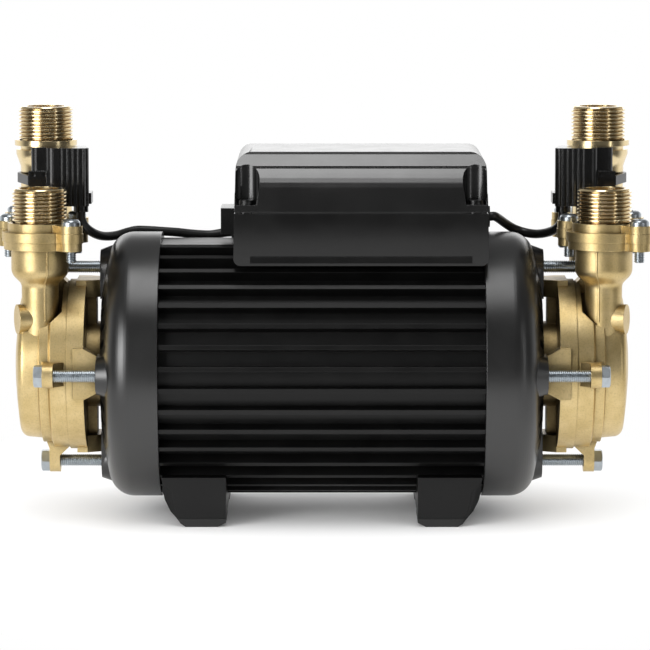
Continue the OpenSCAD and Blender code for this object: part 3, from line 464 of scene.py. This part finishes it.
def skin(bm, rings):
    """Joins each ring of points to the next with a row of faces."""
    for low, high in zip(rings, rings[1:]):
        for at in range(len(low)):
            after = (at + 1) % len(low)
            bm.faces.new((low[at], low[after], high[after], high[at]))


def solid_through(bm, rings):
    """Adds a closed solid through the rings of points, with flat ends."""
    skin(bm, rings)
    bm.faces.new(rings[0][::-1])
    bm.faces.new(rings[-1])
    bmesh.ops.recalc_face_normals(bm, faces=bm.faces)


def revolve(bm, place, profile, sides):
    """Adds a surface of revolution about the place's Z axis from (radius, height) points."""
    rings = []
    for radius, height in profile:
        ring = []
        for side in range(sides):
            spin = Matrix.Rotation(2 * math.pi * side / sides, 3, "Z")
            ring.append(bm.verts.new(place @ (spin @ Vector((radius, 0, height)))))
        rings.append(ring)
    skin(bm, rings)


def cut(mesh, tool):
    """The mesh with the tool's volume taken out of it."""
    solid = add("solid", mesh)
    cutter = add("cutter", tool)
    boolean = solid.modifiers.new("cut", "BOOLEAN")
    boolean.object = cutter
    boolean.operation = "DIFFERENCE"
    boolean.use_self = True
    bpy.context.view_layer.update()
    result = bpy.data.meshes.new_from_object(solid.evaluated_get(bpy.context.evaluated_depsgraph_get()))
    for thing in (solid, cutter):
        bpy.data.objects.remove(thing)
    return result


def prism(outline, x0, x1):
    """A mesh with the same (y, z) outline all along X."""
    bm = bmesh.new()
    solid_through(bm, [[bm.verts.new((x, y, z)) for y, z in outline] for x in (x0, x1)])
    return as_mesh(bm, "prism")


# Terminal box: its lid, with the slant between top and face, and its base

BOX_SHARP = 16

# The slant: its top round's place behind the face, that round's radius, and the drop to the slant's foot
BROW_BACK = 18 * MM
BROW_R = 5 * MM
BROW_DROP = 6.6 * MM
BROW_STEPS = 8

# The opened rear corners: their length along each side, and the height of their floor
NOTCH = 9.2 * MM
NOTCH_FLOOR = AXIS_Z + 82.62 * MM


def box_piece(name, bm, finish, node):
    """A piece of the terminal box, whose flats stay flat beside its rounds."""
    made = piece(name, bm, (finish,), node, BOX_SHARP)
    flats = made.modifiers.new("flats_stay_flat", "WEIGHTED_NORMAL")
    flats.keep_sharp = True


def slanted_lid():
    """A copy of the lid whose front top edge is cut back to a slant that runs into the top with a round.

    The two rear screw pockets are opened at the corners, where the wall round them would be too thin.
    """
    source = nodes["terminal_box_lid"]
    corners = [source.matrix_world @ Vector(corner) for corner in source.bound_box]
    x0, x1 = min(c.x for c in corners), max(c.x for c in corners)
    front, back = min(c.y for c in corners), max(c.y for c in corners)
    top = max(c.z for c in corners)
    spare = 5 * MM
    round_at = (front + BROW_BACK, top - BROW_R)
    outline = [(round_at[0], top + spare), (front - spare, top + spare), (front - spare, top - BROW_DROP)]
    diagonal = BROW_R * math.sqrt(0.5)
    slant = BROW_DROP - BROW_R + diagonal
    outline.append((round_at[0] - diagonal - slant, top - BROW_DROP))
    for step in range(BROW_STEPS + 1):
        angle = math.radians(135 - 45 * step / BROW_STEPS)
        outline.append((round_at[0] + BROW_R * math.cos(angle), round_at[1] + BROW_R * math.sin(angle)))
    inner, outer = back - NOTCH, back + spare
    notch = [(inner, NOTCH_FLOOR), (outer, NOTCH_FLOOR), (outer, top + spare), (inner, top + spare)]
    lid = as_mesh(welded_copy("terminal_box_lid"), "lid")
    lid = cut(lid, prism(outline, x0 - spare, x1 + spare))
    lid = cut(lid, prism(notch, x0 - spare, x0 + NOTCH))
    lid = cut(lid, prism(notch, x1 - NOTCH, x1 + spare))
    bm = bmesh.new()
    bm.from_mesh(lid)
    box_piece("lid_slanted", bm, "box_plastic", "terminal_box_lid")


def rounded_base():
    """A copy of the box's base that shades the fine flats of its belly as one curved face."""
    box_piece("base_rounded", welded_copy("terminal_box_base"), "base_plastic", "terminal_box_base")


slanted_lid()
rounded_base()


# Straps round the flow switch barrels, each with a straight run to the buckle on its reed switch

STRAP_R = 13.45 * MM
STRAP_THICK = 1.5 * MM
STRAP_WIDE = 4.6 * MM
STRAP_Z = BOSS_Z + 16 * MM
STRAP_STEPS = 48

# Where the band starts and leaves the barrel, in degrees, and where it ends, from the barrel's axis
STRAP_TURN = (222, -18.3)
BUCKLE_END = (6.7 * MM, -22 * MM)


def strap(side):
    """A band round the barrel that leaves it at a tangent and ends in the buckle."""
    path = []
    for step in range(STRAP_STEPS + 1):
        angle = math.radians(STRAP_TURN[0] + (STRAP_TURN[1] - STRAP_TURN[0]) * step / STRAP_STEPS)
        path.append(Vector((math.cos(angle), math.sin(angle))) * STRAP_R)
    path.append(Vector(BUCKLE_END))
    bm = bmesh.new()
    rows = []
    for at, spot in enumerate(path):
        along = (path[min(at + 1, len(path) - 1)] - path[max(at - 1, 0)]).normalized()
        across = Vector((along.y, -along.x)) * STRAP_THICK / 2
        row = []
        for edge, height in ((-1, 0), (1, 0), (1, STRAP_WIDE), (-1, STRAP_WIDE)):
            x, y = spot + across * edge
            row.append(bm.verts.new((ENDS[side] * (PORT_X + x), PORT_Y + y, STRAP_Z + height)))
        rows.append(row)
    solid_through(bm, rows)
    piece(side + "_strap", bm, ("lead_sheath",), side + "_switch_strap")


for side in ENDS:
    strap(side)


# Sensor leads: the same routes as in the part's source

RIGHT_ROUTE = (
    (118.1, 0, 148), (118.1, 0, 145), (116.6, 2, 141), (113.6, 6, 138.2), (109.5, 11, 136.4),
    (105, 16, 135.6), (100, 19, 136.2), (95, 19, 138), (91, 16.5, 140.6), (87.5, 12, 143.4),
    (85, 8.6, 145), (82.5, 8, 145), (77.2, 8, 145),
)
LEFT_ROUTE = (
    (-118.1, 0, 148), (-118.1, 0, 145), (-116.4, 0.4, 141), (-113.2, 2.4, 137.9), (-109.4, 6.6, 135.7),
    (-105.4, 12, 134.8), (-101, 17.6, 134.9), (-96.6, 21.6, 135.9), (-92, 23.8, 136.7), (-86, 25, 136.5),
    (-80, 26, 136), (-72, 27.5, 135.3), (-64, 29, 134.3), (-56, 30.4, 133.8), (-50, 31, 134.6),
    (-46, 31, 135), (-39.6, 31, 135),
)


def smooth_route(route, steps=6):
    """Points of a Catmull-Rom curve through the route, in metres."""
    knots = [Vector(point) * MM for point in route]
    knots = [2 * knots[0] - knots[1], *knots, 2 * knots[-1] - knots[-2]]
    points = []
    for a, b, c, d in zip(knots, knots[1:], knots[2:], knots[3:]):
        for step in range(steps):
            t = step / steps
            points.append(0.5 * (2 * b + (c - a) * t + (2 * a - 5 * b + 4 * c - d) * t ** 2
                                 + (3 * b - a - 3 * c + d) * t ** 3))
    points.append(knots[-2])
    return points


def sensor_lead(side, route):
    """A sensor lead from the reed switch into the terminal box, as a round tube along a smooth curve."""
    points = smooth_route(route)
    curve = bpy.data.curves.new(side + "_lead", "CURVE")
    curve.dimensions = "3D"
    curve.bevel_depth = LEAD_D / 2
    curve.bevel_resolution = 5
    curve.use_fill_caps = True
    spline = curve.splines.new("POLY")
    spline.points.add(len(points) - 1)
    for knot, point in zip(spline.points, points):
        knot.co = (*point, 1)
    curve.materials.append(FINISHES["lead_sheath"])
    lead = add(side + "_lead", curve)
    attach(lead, FRAME_BODY)
    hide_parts(side + "_sensor_lead")


sensor_lead("right", RIGHT_ROUTE)
sensor_lead("left", LEFT_ROUTE)


# Pipe threads on the ports

PIPE_PITCH = 25.4 / 14 * MM
PIPE_DEPTH = 1.162 * MM
PIPE_LIP = 1 * MM
THREAD_SIDES = 96

# Ports are left as cast below this height, and turned above it
CAST_TOP = BOSS_Z - 0.5 * MM


def threaded_port(name, y, thread_z, side):
    """A copy of a port whose plain spigot wall gives way to a pipe thread."""
    axis = Vector((ENDS[side] * PORT_X, y, 0))
    low, high = thread_z + 0.1 * MM, thread_z + THREAD_LEN - 0.01 * MM
    wall_r = THREAD_R - 0.8 * PIPE_LIP
    bm = welded_copy(name)
    wall = []
    for face in bm.faces:
        middle = face.calc_center_median()
        if (middle - axis).to_2d().length > wall_r and low < middle.z < high:
            wall.append(face)
    bmesh.ops.delete(bm, geom=wall, context="FACES")
    for face in bm.faces:
        face.material_index = 0 if face.calc_center_median().z < CAST_TOP else 1
    kept = len(bm.faces)
    foot = Matrix.Translation(axis + Vector((0, 0, thread_z)))
    thread = bmesh.new()
    screw_thread(thread, foot, THREAD_R, PIPE_DEPTH, PIPE_PITCH, THREAD_LEN, PIPE_LIP, THREAD_SIDES)
    bmesh.ops.remove_doubles(thread, verts=thread.verts, dist=THREAD_WELD)
    threaded = as_mesh(thread, "thread")
    bm.from_mesh(threaded)
    bpy.data.meshes.remove(threaded)
    bm.faces.ensure_lookup_table()
    for face in bm.faces[kept:]:
        face.material_index = 1
    piece(name + "_threaded", bm, ("cast_brass", "machined_brass"), name)


for side in ENDS:
    threaded_port(side + "_inlet_port", -PORT_Y, BOSS_Z, side)
    threaded_port(side + "_flow_switch_body", PORT_Y, SWITCH_THREAD_Z, side)


# Screws

SCREW_CIRCLE_R = 48 * MM
PUMP_SCREW = {
    "r": 2.98 * MM, "pitch": 1 * MM, "depth": 0.4 * MM, "start": 95.5 * MM, "seat": 134.2 * MM,
    "flats": 10 * MM, "head": 4.2 * MM,
}
FLANGE_SCREW = {
    "r": 2.48 * MM, "pitch": 0.8 * MM, "depth": 0.45 * MM, "start": 53.8 * MM, "seat": 71.6 * MM,
    "head_r": 4.6 * MM, "head": 3.2 * MM,
}
FLANGE_SCREW_X = 16 * MM
FLANGE_SCREW_Y = 14.6 * MM
SCREW_SIDES = 28
PAN_SIDES = 40
PAN_STEPS = 8
PAN_WELD = 0.003 * MM


def hex_head(bm, place, flats, height, sides=72):
    """Hexagonal head with its corners chamfered off by a cone and a shallow dish on top."""
    inner = 0.47 * flats
    slope = math.tan(math.radians(30))
    rings = [[], [], []]
    for side in range(sides):
        angle = 2 * math.pi * side / sides
        from_flat = (angle + math.pi / 6) % (math.pi / 3) - math.pi / 6
        outer = 0.5 * flats / math.cos(from_flat)
        spots = ((outer, 0), (outer, height - (outer - inner) * slope), (inner, height))
        for ring, (radius, z) in zip(rings, spots):
            ring.append(bm.verts.new(place @ Vector((radius * math.cos(angle), radius * math.sin(angle), z))))
    skin(bm, rings)
    bm.faces.new(rings[0][::-1])
    dish = (
        (inner, height), (0.36 * flats, height),
        (0.33 * flats, height - 0.25 * MM), (POLE_R, height - 0.3 * MM),
    )
    revolve(bm, place, dish, sides)


def pump_screws():
    """The long screws that hold the pumps to the motor, four at each end."""
    size = PUMP_SCREW
    bm = bmesh.new()
    length = size["seat"] - size["start"]
    for end in ENDS.values():
        outward = Matrix.Rotation(end * math.pi / 2, 4, "Y")
        for quarter in range(4):
            about_shaft = Matrix.Rotation(quarter * math.pi / 2, 4, "X")
            arm = about_shaft @ Vector((0, 0, SCREW_CIRCLE_R))
            start = Matrix.Translation((end * size["start"], arm.y, AXIS_Z + arm.z)) @ outward
            screw_thread(bm, start, size["r"], size["depth"], size["pitch"], length, 0, SCREW_SIDES)
            hex_head(bm, start @ Matrix.Translation((0, 0, length)), size["flats"], size["head"])
    bmesh.ops.remove_doubles(bm, verts=bm.verts, dist=THREAD_WELD)
    piece("pump_screws_threaded", bm, ("zinc_steel",), "pump_screws")


def pan_head(radius, height):
    """Rounded pan head that stands on the origin, as a mesh."""
    bm = bmesh.new()
    crown = [(POLE_R, 0), (radius, 0), (radius, 0.35 * height)]
    for step in range(1, PAN_STEPS + 1):
        angle = step / PAN_STEPS * math.pi / 2
        crown.append((radius * (0.45 + 0.55 * math.cos(angle)), height * (0.35 + 0.65 * math.sin(angle))))
    crown.append((POLE_R, height))
    revolve(bm, Matrix.Identity(4), crown, PAN_SIDES)
    bmesh.ops.remove_doubles(bm, verts=bm.verts, dist=PAN_WELD)
    return as_mesh(bm, "pan_head")


def driver_tip(radius, height):
    """Cross-shaped tip that narrows downward, where it makes the recess of a pan head."""
    long, wide, narrowed = 1.15 * radius, 0.26 * radius, 0.55
    bm = bmesh.new()
    for turn in (0, math.pi / 2):
        spin = Matrix.Rotation(turn, 3, "Z")
        for vert in bmesh.ops.create_cube(bm, size=1)["verts"]:
            x, y, z = vert.co
            taper = 1 if z > 0 else narrowed
            vert.co = spin @ Vector((x * long * taper, y * wide, z * height)) + Vector((0, 0, height))
    return as_mesh(bm, "driver_tip")


def flange_screws():
    """The small screws through the port flanges, two at each port."""
    size = FLANGE_SCREW
    head = cut(pan_head(size["head_r"], size["head"]), driver_tip(size["head_r"], size["head"]))
    bm = bmesh.new()
    length = size["seat"] - size["start"]
    for end in ENDS.values():
        for y in (-PORT_Y, PORT_Y):
            for diagonal in (-1, 1):
                x = end * PORT_X + diagonal * FLANGE_SCREW_X
                foot = Matrix.Translation((x, y - diagonal * FLANGE_SCREW_Y, AXIS_Z + size["start"]))
                screw_thread(bm, foot, size["r"], size["depth"], size["pitch"], length, 0, SCREW_SIDES)
                placed = head.copy()
                placed.transform(foot @ Matrix.Translation((0, 0, length)))
                bm.from_mesh(placed)
                bpy.data.meshes.remove(placed)
    bmesh.ops.remove_doubles(bm, verts=bm.verts, dist=THREAD_WELD)
    piece("flange_screws_threaded", bm, ("zinc_steel",), "flange_screws")


pump_screws()
flange_screws()


# Floor, light and surroundings

# Levels that reflections see in front and high up behind, and the level for diffuse light
WORLD_FRONT = 0.11
WORLD_HIGH = 0.3
WORLD_DIFFUSE = 1.2

# Parts of a direction over which the level changes: upward, and away from the camera
RISE_SPAN = (0.2, 0.55)
AWAY_SPAN = (-0.25, 0.45)

# Half the floor's width, how its fade is squeezed along each axis, and where the fade starts and ends
FLOOR_HALF = 0.5
FLOOR_OVAL = (1.7, 1, 1)
FLOOR_FADE = (0.12, 0.38)


def lamp(name, at, aim, size, power, spread=180):
    """Rectangular soft light at a place, aimed at a point; spread is its beam's width in degrees."""
    light = bpy.data.lights.new(name, "AREA")
    light.shape = "RECTANGLE"
    light.size, light.size_y = size
    light.energy = power
    light.spread = math.radians(spread)
    made = add(name, light)
    made.location = at
    made.rotation_euler = (Vector(aim) - Vector(at)).to_track_quat("-Z", "Y").to_euler()


def surroundings():
    """White for the camera; reflections see white low behind the object and a darker studio elsewhere."""
    world = bpy.data.worlds.new("studio")
    bpy.context.scene.world = world
    world.use_nodes = True
    tree = world.node_tree
    direction = tree.nodes.new("ShaderNodeTexCoord")
    parts = tree.nodes.new("ShaderNodeSeparateXYZ")
    tree.links.new(direction.outputs["Generated"], parts.inputs[0])
    paths = tree.nodes.new("ShaderNodeLightPath")

    def blend(factor, start, end, low, high):
        """From low to high as the factor goes from start to end; low and high are numbers or outputs."""
        made = tree.nodes.new("ShaderNodeMapRange")
        made.interpolation_type = "SMOOTHSTEP"
        for socket, value in (("From Min", start), ("From Max", end), ("To Min", low), ("To Max", high)):
            if isinstance(value, bpy.types.NodeSocket):
                tree.links.new(value, made.inputs[socket])
            else:
                made.inputs[socket].default_value = value
        tree.links.new(factor, made.inputs["Value"])
        return made.outputs["Result"]

    rear = blend(parts.outputs["Z"], *RISE_SPAN, 1, WORLD_HIGH)
    level = blend(parts.outputs["Y"], *AWAY_SPAN, WORLD_FRONT, rear)
    level = blend(paths.outputs["Is Camera Ray"], 0, 1, level, 1)
    level = blend(paths.outputs["Is Diffuse Ray"], 0, 1, level, WORLD_DIFFUSE)
    tree.links.new(level, tree.nodes["Background"].inputs["Strength"])
    tree.nodes["Background"].inputs["Color"].default_value = (1, 1, 1, 1)


def studio_floor():
    """White floor that keeps the shadow near the object and runs out to plain white."""
    bm = bmesh.new()
    bmesh.ops.create_grid(bm, x_segments=1, y_segments=1, size=FLOOR_HALF)
    floor = add("floor", as_mesh(bm, "floor"))
    finish = Finish("floor", base_color=(0.92, 0.92, 0.92, 1), roughness=0.9)
    tree = finish.tree
    oval = finish.node("VectorMath", {0: finish.place, 1: FLOOR_OVAL}, operation="MULTIPLY").outputs["Vector"]
    far = finish.node("VectorMath", {0: oval}, operation="LENGTH").outputs["Value"]
    fade = finish.between(far, 0, 1, *FLOOR_FADE)
    paths = tree.nodes.new("ShaderNodeLightPath")
    direct = finish.math("MAXIMUM", paths.outputs["Is Camera Ray"], paths.outputs["Is Glossy Ray"])
    direct = finish.math("MAXIMUM", direct, paths.outputs["Is Transmission Ray"])
    share = finish.math("MULTIPLY", direct, fade)
    white = finish.node("Emission", {"Strength": 1.0})
    mixed = finish.node("MixShader", {0: share, 1: finish.shader.outputs[0], 2: white.outputs[0]})
    tree.links.new(mixed.outputs[0], tree.nodes["Material Output"].inputs["Surface"])
    floor.data.materials.append(finish.material)


surroundings()
studio_floor()
lamp("key", (-1.0, -1.1, 0.45), (-0.14, 0, 0.16), (0.8, 1.1), 2.6, 60)
lamp("strip", (1.1, -1.02, 0.45), (0, 0, 0.2), (0.11, 1.1), 1.2)
lamp("top", (-0.05, -0.3, 1.5), (-0.05, -0.3, 0), (0.5, 0.8), 5.6)
lamp("top_edge", (-0.05, -0.79, 1.5), (-0.05, -0.79, 0), (0.5, 0.18), 0.75)
lamp("top_rim", (-0.05, -0.97, 1.5), (-0.05, -0.97, 0), (0.5, 0.18), 0.3)
lamp("back", (0, 1.6, 0.55), (0, 0, 0.1), (2.2, 0.5), 4)

bpy.context.scene.view_settings.view_transform = "Standard"
